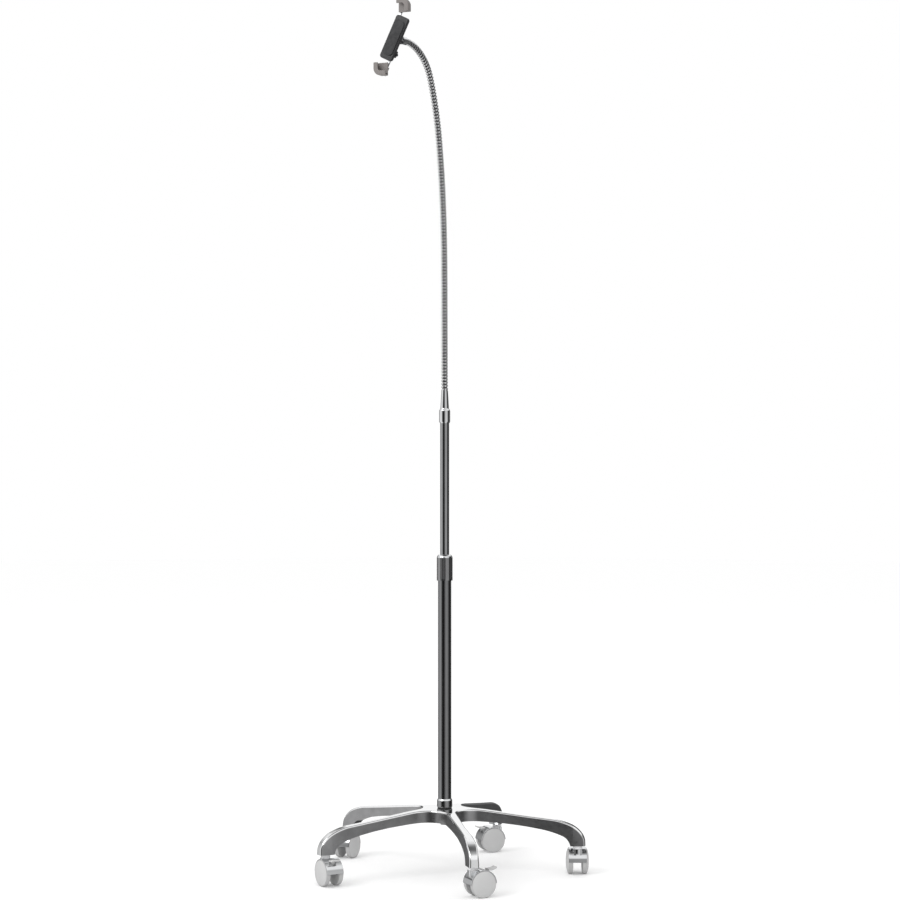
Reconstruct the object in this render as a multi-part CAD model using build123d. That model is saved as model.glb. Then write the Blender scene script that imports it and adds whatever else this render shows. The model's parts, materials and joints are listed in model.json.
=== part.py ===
from build123d import *
import os
from math import atan2, ceil, cos, pi, radians, sin, sqrt, tan

# Adjustable floor stand that holds a tablet or a phone on a flexible neck.
# Millimetres, +Z up. The origin is on the floor under the pole's axis, and the holder faces -Y.

# Overrun of every cut past the face that it opens
cut_overrun = 1.0

# Star base: one casting of five arms
arm_count = 5
first_arm_angle = 18.0
arm_reach = 282.0
hub_top = 136.0
tip_face = 61.5
hub_fillet = 40.5
arm_root_width = 27.0
arm_waist_width = 21.5
arm_tip_width = 25.0
arm_tip_nose_width = 20.0
side_draft = 2.5
casting_wall = 3.4

# Side view of an arm: shares of the reach, and of the height from the tip's face to the hub's top
arm_top_shares = ((0.15, 1.0), (0.36, 0.945), (0.8, 0.745), (0.955, 0.585), (1.03, 0.36), (1.057, 0.06))
arm_underside_shares = ((0.142, 0.664), (0.734, 0.455), (0.885, 0.285), (0.947, 0.0))
# How many of the top's stations the hollow underneath follows
pocket_stations = 3
# Plan of an arm: where its width is taken, in shares of the reach
root_share = 0.26
waist_share = 0.62
tip_share = 0.965
nose_share = 1.057

# Hub: seat of the pole and its bolt
hub_boss_radius = 21.0
hub_boss_bottom = 107.5
pole_seat = 116.0
pole_fit = 0.12
bolt_radius = 5.0
bolt_hole_gap = 0.4
bolt_head_across = 17.0
bolt_head_height = 6.4
bolt_reach = 26.0
thread_fit = 0.05

# Chrome ring where the pole enters the hub
foot_ring_radius = 16.2
foot_ring_height = 20.0

# Telescopic pole: outer tube below, inner tube above
lower_tube_radius = 14.0
lower_tube_wall = 1.5
lower_tube_top = 640.0
upper_tube_radius = 9.5
upper_tube_wall = 1.5
upper_tube_bottom = 440.0
tube_guide_gap = 0.1

# Guide in the lower tube's mouth, collet above it, and the twist lock round them
plug_height = 24.0
guide_length = 36.0
sleeve_radius = 16.8
sleeve_bottom = 618.0
sleeve_top = 673.0
sleeve_mouth_gap = 0.35
collet_base_height = 6.0
collet_height = 29.0
collet_base_radius = 13.4
collet_tip_radius = 11.6
collet_gap = 0.3
collet_slot = 1.6
collet_slot_count = 4
collet_slot_share = 0.72

# Bush under the upper tube
slide_bush_length = 24.0

# Ferrule between the upper tube and the neck
ferrule_bottom = 951.5
ferrule_radius = 11.7
ferrule_height = 30.5
ferrule_bevel = 1.4
root_cone_radius = 9.1
root_cone_height = 38.0

# Flexible neck: six ribbed lengths, each seated in the next
neck_radius = 7.0
neck_valley_radius = 6.4
neck_bore_radius = 3.4
neck_length = 782.0
neck_piece_count = 6
neck_ribs_per_piece = 5
neck_heading = 261.8
neck_turn = 90.0
neck_turn_shares = (0.004, 0.002, 0.041, 0.047, 0.134, 0.772)
neck_swing = 15.0
neck_seat_radius = 6.25
neck_seat_height = 1.5
neck_cup_radius = 6.5
neck_cup_depth = 3.4
neck_rim_gap = 0.3
bore_step_turn = 12.0

# Tip of the neck, its swivel stud, and the tilt pin
tip_radius = 8.6
tip_length = 12.0
journal_radius = 4.0
journal_length = 8.0
journal_gap = 0.05
collar_gap = 0.3
stud_flange_height = 2.0
knuckle_radius = 6.5
knuckle_gap = 0.7
tongue_half_width = 3.5
tongue_gap = 0.15
knuckle_pin_radius = 2.5
pin_overhang = 1.0

# Fork on the holder's back
boss_height = 4.0
fork_base_radius = 11.0
fork_base_thickness = 3.2
fork_gap = 0.2
fork_half_width = 7.0
fork_spigot_radius = 5.0
fork_spigot_length = 3.6

# Holder: a housing along the device's diagonal, with two racked arms that close on opposite corners
device_width = 71.5
device_height = 146.7
device_gap = 9.4
pad_thickness = 3.0
pad_half_length = 37.0
pad_half_width = 11.5
pad_corner = 8.0
housing_half_length = 47.0
housing_half_width = 14.4
housing_corner = 6.0
housing_wall = 2.0
cover_thickness = 2.2
arm_bar_thickness = 4.0
arm_play = 0.2
back_wall = 2.8

# Rack and pinion
gear_module = 1.0
pinion_teeth = 12
pressure_angle = 20.0
rack_addendum_share = 0.6
pinion_addendum_share = 0.8
dedendum_share = 1.05
tooth_backlash = 0.12
flank_steps = 3
arm_bar_outer = 12.0
arm_inner_end = 38.0
arm_outer_end = 77.0
arm_side_gap = 0.2
pinion_pin_radius = 2.5

# Corner grips and their rubber liners
grip_length = 27.0
grip_wall = 2.4
grip_lip = 6.0
grip_corner_radius = 15.0
liner_thickness = 1.2
lip_corner_radius = 6.0
grip_plate_gap = 0.3
block_start = 60.0
block_end = 78.5
block_inner_side = 3.6
block_outer_side = 14.0
arm_socket_gap = 0.1

# Knob that locks the arms
knob_place_along = 30.0
knob_place_across = 8.7
knob_radius = 8.0
knob_height = 7.0
knob_standoff = 0.4
knob_screw_radius = 2.0
knob_lobes = 6
knob_lobe_radius = 2.4

# Hooded twin-wheel casters with a brake pedal
wheel_radius = 27.0
wheel_inner_face = 9.8
wheel_width = 14.2
caster_trail = 16.0
axle_radius = 3.0
axle_gap = 0.05
axle_end_gap = 0.4
hood_gap = 0.6
hood_wall = 1.3
hood_half_width = 19.0
hood_rise = 0.5
axle_boss_radius = 5.4
web_half_width = 8.8
boss_radius = 9.4
boss_floor = 36.0
boss_bridge_share = 0.9
stem_radius = 5.5
stem_insert_length = 24.0
stem_pivot_length = 16.0
stem_collar_radius = 9.8
stem_fit = 0.1
pivot_gap = 0.05
caster_yaws = (114.5, 226.0, 269.5, 324.5, 50.5)

# Brake pedal: pivot, slot and foot tab, measured from the axle
pedal_pivot_along = 12.0
pedal_pivot_up = 15.0
pedal_pin_radius = 1.5
pedal_half_width = 3.8
pedal_slot_gap = 0.4
tab_half_width = 8.5
tab_thickness = 3.2
tab_start_along = 15.5
tab_start_up = 28.6
tab_sag = 1.6
tab_end_along = 34.0
tab_end_up = 32.0
lever_root_radius = 4.2
slot_start_angle = 22.0
slot_end_angle = 82.0


def turned(points):
    """A closed outline of (radius, height) points, turned about Z."""
    outline = make_face(Polyline(*points, close=True))
    return revolve(Plane.XZ * outline, Axis.Z)


def disc(radius, bottom, top):
    """A round bar between two heights."""
    return Pos(0, 0, bottom) * extrude(Circle(radius), amount=top - bottom)


def ring(outer, inner, bottom, top):
    """A tube between two heights."""
    wall = Circle(outer) - Circle(inner)
    return Pos(0, 0, bottom) * extrude(wall, amount=top - bottom)


def slab(x_low, x_high, y_low, y_high, z_low, z_high):
    """A block given by its limits."""
    size = (x_high - x_low, y_high - y_low, z_high - z_low)
    middle = ((x_low + x_high) / 2, (y_low + y_high) / 2, (z_low + z_high) / 2)
    return Pos(*middle) * Box(*size)


def one_solid(shape):
    """The single solid of a shape."""
    return shape.solids()[0]


# Star base


def arm_angles():
    """The direction of each arm, in degrees."""
    return [first_arm_angle + 360 / arm_count * number for number in range(arm_count)]


def arm_station(shares):
    """A side-view point of an arm from its shares."""
    along_share, height_share = shares
    return (along_share * arm_reach, tip_face + height_share * (hub_top - tip_face))


def tangent_chain(start, direction, stations):
    """Arcs from start through the stations, each leaving the last one smoothly."""
    arcs = []
    for station in stations:
        arc = TangentArc(start, station, tangent=direction)
        arcs.append(arc)
        start = station
        direction = arc % 1
    return arcs


def arm_side_points(inset):
    """The corners of an arm's left side from the hub to its nose, drawn in by inset."""
    root = (root_share * arm_reach, arm_root_width / 2 - inset)
    waist = (waist_share * arm_reach, arm_waist_width / 2 - inset)
    tip = (tip_share * arm_reach, arm_tip_width / 2 - inset)
    nose = (nose_share * arm_reach - inset, arm_tip_nose_width / 2 - inset)
    slope = (waist[1] - root[1]) / (waist[0] - root[0])
    corner = (root[1] - slope * root[0]) / (tan(pi / arm_count) - slope)
    return [(corner, corner * tan(pi / arm_count)), waist, tip, nose]


def star_plan(inset):
    """The plan of all arms at the level of their tips, drawn in by inset and rounded between the arms."""
    points = []
    for angle in arm_angles():
        side = arm_side_points(inset)
        corners = [(x, -y) for x, y in side] + side[::-1][:-1]
        turn = Rot(0, 0, angle)
        points += [(turn * Pos(x, y, 0)).position for x, y in corners]
    plan = make_face(Polyline(*points, close=True))
    valleys = plan.vertices().sort_by(lambda corner: corner.X**2 + corner.Y**2)[:arm_count]
    return fillet(valleys, hub_fillet + inset).faces()[0]


def arm_side_view():
    """The side view from the pole's axis to the tip's nose, to be turned about Z."""
    top = [arm_station(shares) for shares in arm_top_shares]
    underside = [arm_station(shares) for shares in arm_underside_shares]
    top_arcs = tangent_chain(top[0], (1, 0), top[1:])
    under_arcs = tangent_chain(underside[0], (1, 0), underside[1:])
    nose_foot = (top[-1][0], tip_face)
    edges = [
        Line((0, hub_top), top[0]),
        *top_arcs,
        Line(top[-1], nose_foot),
        Line(nose_foot, underside[-1]),
        *under_arcs,
        Line(underside[0], (0, underside[0][1])),
        Line((0, underside[0][1]), (0, hub_top)),
    ]
    return make_face(Wire.combine([edge for curve in edges for edge in curve.edges()])[0])


def pocket_side_view():
    """The side view of the hollow under the arms, a wall's thickness under their top."""
    stations = [arm_station(shares) for shares in arm_top_shares[:pocket_stations]]
    roof = [(along, height - casting_wall) for along, height in stations]
    far = roof[-1][0]
    edges = [
        Line((0, roof[0][1]), roof[0]),
        *tangent_chain(roof[0], (1, 0), roof[1:]),
        Line(roof[-1], (far, tip_face)),
        Line((far, tip_face), (0, tip_face)),
        Line((0, tip_face), (0, roof[0][1])),
    ]
    return make_face(Wire.combine([edge for curve in edges for edge in curve.edges()])[0])


def fan(view):
    """A side view given its width and set in every arm's direction."""
    plate = extrude(Plane.XZ * view, amount=hub_fillet, both=True)
    return Rot(0, 0, first_arm_angle) * plate + [Rot(0, 0, angle) * plate for angle in arm_angles()[1:]]


def drafted_star(inset):
    """The star's plan drawn up past the hub's top, with its sides leaning in."""
    height = hub_top - tip_face + cut_overrun
    lean = height * tan(radians(side_draft))
    foot = Pos(0, 0, tip_face) * star_plan(inset)
    head = Pos(0, 0, tip_face + height) * star_plan(inset + lean)
    return loft([foot, head], ruled=True)


def base_casting():
    """The five-armed casting, hollow below, with the pole's seat and a socket in each tip."""
    pocket = drafted_star(casting_wall) & fan(pocket_side_view())
    body = (drafted_star(0) & fan(arm_side_view())) - pocket
    body += disc(hub_boss_radius, hub_boss_bottom, hub_top - casting_wall / 2)
    body -= disc(lower_tube_radius + pole_fit, pole_seat, hub_top + cut_overrun)
    body -= disc(bolt_radius + bolt_hole_gap, hub_boss_bottom - cut_overrun, pole_seat + cut_overrun)
    socket = disc(stem_radius + stem_fit, tip_face - cut_overrun, tip_face + stem_insert_length + stem_fit)
    for angle in arm_angles():
        body -= Rot(0, 0, angle) * Pos(arm_reach, 0, 0) * socket
    return body


def pole_bolt():
    """Hexagon bolt that pulls the pole down into the hub."""
    head_bottom = hub_boss_bottom - bolt_head_height
    head = extrude(RegularPolygon(bolt_head_across / 2, 6, major_radius=False), amount=bolt_head_height)
    return Pos(0, 0, head_bottom) * head + disc(bolt_radius, hub_boss_bottom, pole_seat + bolt_reach)


def lower_pole():
    """Outer tube with its threaded plug, the ring on the hub, the guide in its mouth and the slotted collet."""
    bore = lower_tube_radius - lower_tube_wall
    guide = upper_tube_radius + tube_guide_gap
    ring_top = hub_top + foot_ring_height
    collet_top = lower_tube_top + collet_height
    body = turned([
        (bolt_radius + thread_fit, pole_seat),
        (lower_tube_radius, pole_seat),
        (lower_tube_radius, hub_top),
        (foot_ring_radius, hub_top),
        (foot_ring_radius, ring_top),
        (lower_tube_radius, ring_top),
        (lower_tube_radius, lower_tube_top),
        (collet_base_radius, lower_tube_top),
        (collet_base_radius, lower_tube_top + collet_base_height),
        (collet_tip_radius, collet_top),
        (guide, collet_top),
        (guide, lower_tube_top - guide_length),
        (bore, lower_tube_top - guide_length),
        (bore, pole_seat + plug_height),
        (bolt_radius + thread_fit, pole_seat + plug_height),
    ])
    slot_bottom = collet_top - collet_height * collet_slot_share
    slot = slab(
        0, lower_tube_radius,
        -collet_slot / 2, collet_slot / 2,
        slot_bottom, collet_top + cut_overrun,
    )
    for number in range(collet_slot_count):
        body -= Rot(0, 0, 360 / collet_slot_count * number) * slot
    return body


def lock_sleeve():
    """Twist-lock sleeve: it turns on the lower tube and squeezes the collet inside it."""
    skirt = lower_tube_radius + journal_gap
    chamber_top = lower_tube_top + collet_height + collet_gap
    lip = upper_tube_radius + sleeve_mouth_gap
    return turned([
        (skirt, sleeve_bottom),
        (sleeve_radius, sleeve_bottom),
        (sleeve_radius, sleeve_top),
        (lip, sleeve_top),
        (lip, chamber_top),
        (skirt, chamber_top),
    ])


def slide_bush():
    """Bush round the foot of the upper tube, sliding in the lower one."""
    outer = lower_tube_radius - lower_tube_wall - tube_guide_gap
    return ring(outer, upper_tube_radius + journal_gap, upper_tube_bottom, upper_tube_bottom + slide_bush_length)


def upper_pole():
    """Inner tube, which slides and turns, with the ferrule and cone that carry the neck."""
    top = ferrule_bottom + ferrule_height
    shoulder = top + root_cone_height
    return turned([
        (upper_tube_radius - upper_tube_wall, upper_tube_bottom),
        (upper_tube_radius, upper_tube_bottom),
        (upper_tube_radius, ferrule_bottom),
        (ferrule_radius - ferrule_bevel, ferrule_bottom),
        (ferrule_radius, ferrule_bottom + ferrule_bevel),
        (ferrule_radius, top - ferrule_bevel),
        (ferrule_radius - ferrule_bevel, top),
        (root_cone_radius, top),
        (neck_radius, shoulder),
        (neck_seat_radius, shoulder),
        (neck_seat_radius, neck_foot() + neck_seat_height),
        (neck_bore_radius, neck_foot() + neck_seat_height),
        (neck_bore_radius, ferrule_bottom),
        (upper_tube_radius - upper_tube_wall, ferrule_bottom),
    ])


def neck_foot():
    """Height of the joint between the root cone and the first length of neck."""
    return ferrule_bottom + ferrule_height + root_cone_height + shoulder_drop()


def shoulder_drop():
    """How far each shoulder stays under the joint, so that the next rim can swing over it."""
    return neck_radius * sin(radians(neck_swing)) + neck_rim_gap


# Flexible neck


def piece_length():
    """Length of neck from one joint to the next."""
    return neck_length / neck_piece_count


def lean_before(number):
    """How far the neck leans from upright at the start of a length, in degrees."""
    return neck_turn * sum(neck_turn_shares[:number])


def step_along(start, lean, bend, distance):
    """Where (out, up) a path gets to after a distance, with its bend given per millimetre."""
    out, up = start
    if bend == 0:
        return (out + distance * sin(lean), up + distance * cos(lean))
    angle = lean + distance * bend
    return (out + (cos(lean) - cos(angle)) / bend, up + (sin(angle) - sin(lean)) / bend)


def bend_span():
    """Length of a piece's bend, between its straight ends."""
    return piece_length() - neck_cup_depth - shoulder_drop()


def joint_place(number):
    """The (out, up) place of a joint of the neck."""
    place = (0, neck_foot())
    for before in range(number):
        place = along_piece(before, piece_length(), place)
    return place


def along_piece(number, distance, start):
    """Where (out, up) a length of neck gets to after a distance, with both its ends straight."""
    lean = radians(lean_before(number))
    turn = radians(neck_turn * neck_turn_shares[number])
    span = min(max(distance - neck_cup_depth, 0), bend_span())
    place = step_along(start, lean, 0, min(distance, neck_cup_depth))
    place = step_along(place, lean, turn / bend_span(), span)
    rest = max(distance - neck_cup_depth - bend_span(), 0)
    return step_along(place, lean + turn, 0, rest)


def neck_plane(number, distance):
    """The plane square to the neck, a distance up a length, with its X axis kept level."""
    last = min(number, neck_piece_count - 1)
    here = radians(lean_before(number))
    out, up = joint_place(number)
    if number == last:
        out, up = along_piece(number, distance, (out, up))
        share = min(max((distance - neck_cup_depth) / bend_span(), 0), 1)
        here += radians(neck_turn * neck_turn_shares[number]) * share
    heading = radians(neck_heading)
    return Plane(
        origin=(out * cos(heading), out * sin(heading), up),
        x_dir=(-sin(heading), cos(heading), 0),
        z_dir=(sin(here) * cos(heading), sin(here) * sin(heading), cos(here)),
    )


def neck_piece(number):
    """One ribbed length: a cup at its foot, a seat for the next one at its end, and a bore."""
    end = piece_length() - shoulder_drop()
    half_rib = end / neck_ribs_per_piece / 2
    sections = []
    for station in range(2 * neck_ribs_per_piece + 1):
        radius = neck_valley_radius if station % 2 else neck_radius
        sections.append(neck_plane(number, station * half_rib) * Circle(radius))
    body = loft(sections, ruled=True)
    foot = -shoulder_drop() - cut_overrun
    body += neck_plane(number + 1, 0) * disc(neck_seat_radius, foot, neck_seat_height)
    body -= neck_plane(number, 0) * disc(neck_cup_radius, -cut_overrun, neck_cup_depth)
    steps = 1 + ceil(neck_turn * neck_turn_shares[number] / bore_step_turn)
    stations = [neck_cup_depth + bend_span() * step / steps for step in range(steps + 1)]
    planes = [neck_plane(number, station) for station in stations]
    body -= loft([plane * Circle(neck_bore_radius) for plane in planes], ruled=True)
    body -= planes[0] * disc(neck_bore_radius, -neck_cup_depth, 0)
    body -= planes[-1] * disc(neck_bore_radius, 0, shoulder_drop() + neck_seat_height + cut_overrun)
    return one_solid(body)


def neck_end():
    """The plane at the last joint place of the neck."""
    return neck_plane(neck_piece_count, 0)


def neck_tip():
    """Sleeve on the neck's end, with a bearing for the swivel stud."""
    body = disc(tip_radius, -shoulder_drop(), tip_length)
    body -= disc(neck_seat_radius + journal_gap, -shoulder_drop() - cut_overrun, neck_seat_height)
    body -= disc(journal_radius + journal_gap, tip_length - journal_length, tip_length + cut_overrun)
    return neck_end() * body


def swivel_stud():
    """Stud that turns in the neck's tip, with a flat tongue for the tilt pin."""
    body = disc(journal_radius, tip_length - journal_length + collar_gap, tip_length + collar_gap)
    flange_top = tip_length + collar_gap + stud_flange_height
    body += disc(tip_radius, tip_length + collar_gap, flange_top)
    tongue = knuckle_bar(tongue_half_width, flange_top - knuckle_place())
    body += Pos(0, 0, knuckle_place()) * tongue
    body -= Pos(0, 0, knuckle_place()) * knuckle_bore(knuckle_pin_radius + journal_gap)
    return neck_end() * body


def knuckle_place():
    """Distance from the neck's last joint to the tilt pin."""
    return tip_length + collar_gap + stud_flange_height + knuckle_radius + knuckle_gap


def knuckle_bar(half_width, reach):
    """A flat bar with a round end on the tilt axis, which runs along Y, reaching to a height."""
    end = Rot(90, 0, 0) * Cylinder(knuckle_radius, 2 * half_width)
    low, high = min(reach, 0), max(reach, 0)
    return end + slab(-knuckle_radius, knuckle_radius, -half_width, half_width, low, high)


def knuckle_bore(radius):
    """A bar along the tilt axis."""
    return Rot(90, 0, 0) * Cylinder(radius, 2 * (fork_half_width + cut_overrun))


# Holder


def tilt_centre():
    """The middle of the tilt pin, on the roll axis."""
    end = neck_end()
    return end.origin + end.z_dir * knuckle_place()


def housing_back():
    """Distance from the device's back to the housing's back."""
    return pad_thickness + cover_thickness + arm_bar_thickness + 2 * arm_play + back_wall


def fork_base():
    """Distance from the device's back to the seat of the fork on the housing's boss."""
    return housing_back() + boss_height


def tilt_height():
    """Distance from the device's back to the tilt pin."""
    return fork_base() + fork_base_thickness + knuckle_radius + knuckle_gap


def holder_centre():
    """The middle of the device's back, in front of the tilt pin."""
    middle = tilt_centre()
    return Vector(middle.X, middle.Y - tilt_height(), middle.Z)


def diagonal_angle():
    """Lean of the device's diagonal from upright, in radians."""
    return atan2(device_width, device_height)


def diagonal_plane():
    """Holder's plane: X up the diagonal, Z away from the device."""
    lean = diagonal_angle()
    return Plane(origin=holder_centre(), x_dir=(sin(lean), 0, cos(lean)), z_dir=(0, 1, 0))


def device_plane():
    """Holder's plane: X to the right, Y up, Z towards the user."""
    return Plane(origin=holder_centre(), x_dir=(1, 0, 0), z_dir=(0, -1, 0))


def rounded_plate(half_length, half_width, corner, bottom, top):
    """A plate with rounded corners, centred on the holder's middle."""
    return Pos(0, 0, bottom) * extrude(RectangleRounded(2 * half_length, 2 * half_width, corner), amount=top - bottom)


def cover_back():
    """Distance from the device's back to the cover's inner face."""
    return pad_thickness + cover_thickness


def arm_layer():
    """Front and back of the arms, measured from the device's back."""
    front = cover_back() + arm_play
    return (front, front + arm_bar_thickness)


def front_pad():
    """Soft pad that the device's back rests on."""
    return diagonal_plane() * rounded_plate(pad_half_length, pad_half_width, pad_corner, 0, pad_thickness)


def front_cover():
    """Cover over the arms, under the pad."""
    plate = rounded_plate(housing_half_length, housing_half_width, housing_corner, pad_thickness, cover_back())
    return diagonal_plane() * plate


def rear_housing():
    """Back shell: tray for the arms, pinion pin, and the boss that the fork turns on."""
    back = housing_back()
    floor = back - back_wall
    shell = rounded_plate(housing_half_length, housing_half_width, housing_corner, cover_back(), back)
    tray_corner = housing_corner - housing_wall
    tray_length = housing_half_length - housing_wall
    tray_width = housing_half_width - housing_wall
    shell -= rounded_plate(tray_length, tray_width, tray_corner, cover_back() - cut_overrun, floor)
    gate = slab(
        tray_length / 2, housing_half_length + cut_overrun,
        -arm_bar_outer - arm_side_gap, arm_side_gap - rack_tip_radius(),
        cover_back() - cut_overrun, floor,
    )
    shell -= gate
    shell -= Rot(0, 0, 180) * gate
    shell += disc(pinion_pin_radius, cover_back() + arm_play, floor + back_wall / 2)
    shell += disc(fork_base_radius, back - back_wall / 2, fork_base())
    shell -= disc(fork_spigot_radius + journal_gap, fork_base() - fork_spigot_length, fork_base() + cut_overrun)
    knob_hole = disc(knob_screw_radius + journal_gap, floor - cut_overrun, back + cut_overrun)
    shell -= Pos(-knob_place_along, knob_place_across, 0) * knob_hole
    return diagonal_plane() * shell


def tilt_fork():
    """Fork that rolls on the housing's boss and holds the tilt pin."""
    foot = fork_base() + fork_gap
    top = fork_base() + fork_base_thickness
    body = disc(fork_base_radius, foot, top) + disc(fork_spigot_radius, foot - fork_spigot_length + collar_gap, foot)
    bar = knuckle_bar(fork_half_width, top - tilt_height())
    slot = slab(
        -2 * knuckle_radius, 2 * knuckle_radius,
        -tongue_half_width - tongue_gap, tongue_half_width + tongue_gap,
        top - tilt_height(), 2 * knuckle_radius,
    )
    cheeks = bar - slot - knuckle_bore(knuckle_pin_radius)
    upright = Plane(origin=holder_centre(), x_dir=(-1, 0, 0), z_dir=(0, 1, 0))
    return upright * (body + Pos(0, 0, tilt_height()) * cheeks)


def tilt_pin():
    """Pin held in the fork's cheeks, through the stud's tongue."""
    pin = Cylinder(knuckle_pin_radius, 2 * (fork_half_width + pin_overhang))
    return Pos(*tilt_centre()) * pin


def involute_point(base, roll):
    """A point of the involute of a circle."""
    return (base * (cos(roll) + roll * sin(roll)), base * (sin(roll) - roll * cos(roll)))


def pinion():
    """Twelve-tooth pinion that makes both arms move together."""
    pitch = gear_module * pinion_teeth / 2
    pressure = radians(pressure_angle)
    base = pitch * cos(pressure)
    tip = pitch + pinion_addendum_share * gear_module
    root = pitch - dedendum_share * gear_module
    half_tooth = (pi * gear_module / 2 - tooth_backlash) / pitch / 2
    lead = tan(pressure) - pressure
    top_roll = sqrt((tip / base) ** 2 - 1)
    flank = []
    for step in range(flank_steps + 1):
        x, y = involute_point(base, top_roll * step / flank_steps)
        radius = sqrt(x * x + y * y)
        flank.append((radius, half_tooth + lead - atan2(y, x)))
    points = []
    for number in range(pinion_teeth):
        middle = 2 * pi * number / pinion_teeth
        rising = [(root, flank[0][1])] + flank
        outline = [(radius, middle - half) for radius, half in rising]
        outline += [(radius, middle + half) for radius, half in reversed(rising)]
        points += [(radius * cos(angle), radius * sin(angle)) for radius, angle in outline]
    front, back = arm_layer()
    gear = extrude(make_face(Polyline(*points, close=True)), amount=back - front)
    gear -= disc(pinion_pin_radius + journal_gap, -cut_overrun, back - front + cut_overrun)
    return diagonal_plane() * Pos(0, 0, front) * gear


def rack_tip_radius():
    """Distance from the pinion's axis to the tips of the racks' teeth."""
    return gear_module * (pinion_teeth / 2 - rack_addendum_share)


def rack_outline(inner_end, outer_end):
    """Plan of an arm: a bar whose inner side is a rack that has a gap opposite the pinion's middle."""
    pitch = gear_module * pinion_teeth / 2
    tooth_pitch = pi * gear_module
    tip = pitch - rack_addendum_share * gear_module
    root = pitch + dedendum_share * gear_module
    slope = tan(radians(pressure_angle))
    half_tip = (tooth_pitch / 2 - tooth_backlash) / 2 - rack_addendum_share * gear_module * slope
    half_root = half_tip + (root - tip) * slope
    points = [(-inner_end, root), (-inner_end, arm_bar_outer), (outer_end, arm_bar_outer), (outer_end, root)]
    last = int(arm_inner_end / tooth_pitch)
    for number in range(last - 1, -last - 1, -1):
        middle = (number + 0.5) * tooth_pitch
        points += [
            (middle + half_root, root),
            (middle + half_tip, tip),
            (middle - half_tip, tip),
            (middle - half_root, root),
        ]
    return make_face(Polyline(*points, close=True))


def holder_arm(side):
    """Racked bar, for the upper corner with side 1 and the lower corner with side -1."""
    front, back = arm_layer()
    bar = extrude(rack_outline(arm_inner_end, arm_outer_end), amount=back - front)
    bar = mirror(bar, Plane.XZ)
    turn = 0 if side == 1 else 180
    return diagonal_plane() * Pos(0, 0, front) * Rot(0, 0, turn) * bar


def corner_shape(growth, radius):
    """Corner square of a grip in the device's plane, grown past the device's two edges."""
    right = device_width / 2 + growth
    top = device_height / 2 + growth
    left = device_width / 2 + liner_thickness + grip_wall - grip_length
    bottom = device_height / 2 + liner_thickness + grip_wall - grip_length
    middle = ((left + right) / 2, (bottom + top) / 2)
    square = Pos(*middle) * Rectangle(right - left, top - bottom)
    corner = square.vertices().sort_by(Axis.X)[-2:].sort_by(Axis.Y)[-1]
    return fillet(corner, radius)


def grip_front():
    """How far the inside of a grip's lip stands in front of the device's back."""
    return device_gap


def corner_grip(side):
    """L-shaped grip round one corner of the device, with the socket for its arm behind."""
    outer = corner_shape(liner_thickness + grip_wall, grip_corner_radius)
    inner = corner_shape(liner_thickness, grip_corner_radius - grip_wall)
    window = corner_shape(-grip_lip, lip_corner_radius)
    plate_back = -(pad_thickness - grip_plate_gap)
    body = Pos(0, 0, plate_back) * extrude(outer, amount=grip_front() + grip_wall - plate_back)
    body -= extrude(inner, amount=grip_front())
    body -= Pos(0, 0, grip_front() - cut_overrun) * extrude(window, amount=grip_wall + 2 * cut_overrun)
    body = device_plane() * body
    front, back = arm_layer()
    block_back = back + grip_wall
    block = slab(block_start, block_end, -block_outer_side, -block_inner_side, pad_thickness - grip_plate_gap, block_back)
    pitch = gear_module * pinion_teeth / 2
    hole = slab(
        block_start - cut_overrun, arm_outer_end + arm_socket_gap,
        -arm_bar_outer - arm_socket_gap, -pitch - dedendum_share * gear_module + arm_socket_gap,
        front - arm_socket_gap, back + arm_socket_gap,
    )
    body += diagonal_plane() * (block - hole)
    return body if side == 1 else half_turn(body)


def half_turn(shape):
    """The same piece on the opposite corner of the holder."""
    return shape.rotate(Axis(holder_centre(), (0, 1, 0)), 180)


def grip_liner(side):
    """Rubber strip between the device's edges and a grip."""
    outer = corner_shape(liner_thickness, grip_corner_radius - grip_wall)
    inner = corner_shape(0, grip_corner_radius - grip_wall - liner_thickness)
    body = device_plane() * extrude(outer - inner, amount=grip_front())
    return one_solid(body) if side == 1 else half_turn(one_solid(body))


def lock_knob():
    """Lobed knob whose screw presses on the lower arm."""
    back = housing_back()
    front = arm_layer()[1]
    body = disc(knob_radius, back + knob_standoff, back + knob_standoff + knob_height)
    scoop = disc(knob_lobe_radius, back, back + knob_standoff + knob_height + cut_overrun)
    for number in range(knob_lobes):
        body -= Rot(0, 0, 360 / knob_lobes * number) * Pos(knob_radius + knob_lobe_radius / 2, 0, 0) * scoop
    body += disc(knob_screw_radius, front + journal_gap, back + knob_standoff + knob_standoff)
    return diagonal_plane() * Pos(-knob_place_along, knob_place_across, 0) * body


# Casters, each built with its stem on Z and its trail towards +X


def axle_height():
    """Height of the wheels' axle."""
    return wheel_radius


def stem_collar_bottom():
    """Underside of the stem's collar."""
    return boss_top() + collar_gap


def boss_top():
    """Top of the hood's boss, just under the stem's collar."""
    return axle_height() + wheel_radius + hood_gap


def caster_place(number):
    """Where a caster stands and which way it trails."""
    return Rot(0, 0, arm_angles()[number]) * Pos(arm_reach, 0, 0) * Rot(0, 0, caster_yaws[number] - arm_angles()[number])


def caster_stem():
    """Pin that is pressed into the arm's tip, with its collar, and a pivot for the hood."""
    low = stem_collar_bottom()
    return turned([
        (0, low - stem_pivot_length),
        (stem_radius, low - stem_pivot_length),
        (stem_radius, low),
        (stem_collar_radius, low),
        (stem_collar_radius, tip_face),
        (stem_radius, tip_face),
        (stem_radius, tip_face + stem_insert_length),
        (0, tip_face + stem_insert_length),
    ])


def caster_stems():
    """The five stems, as one group."""
    stems = [Rot(0, 0, angle) * Pos(arm_reach, 0, 0) * caster_stem() for angle in arm_angles()]
    return Compound(children=[one_solid(stem) for stem in stems])


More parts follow.
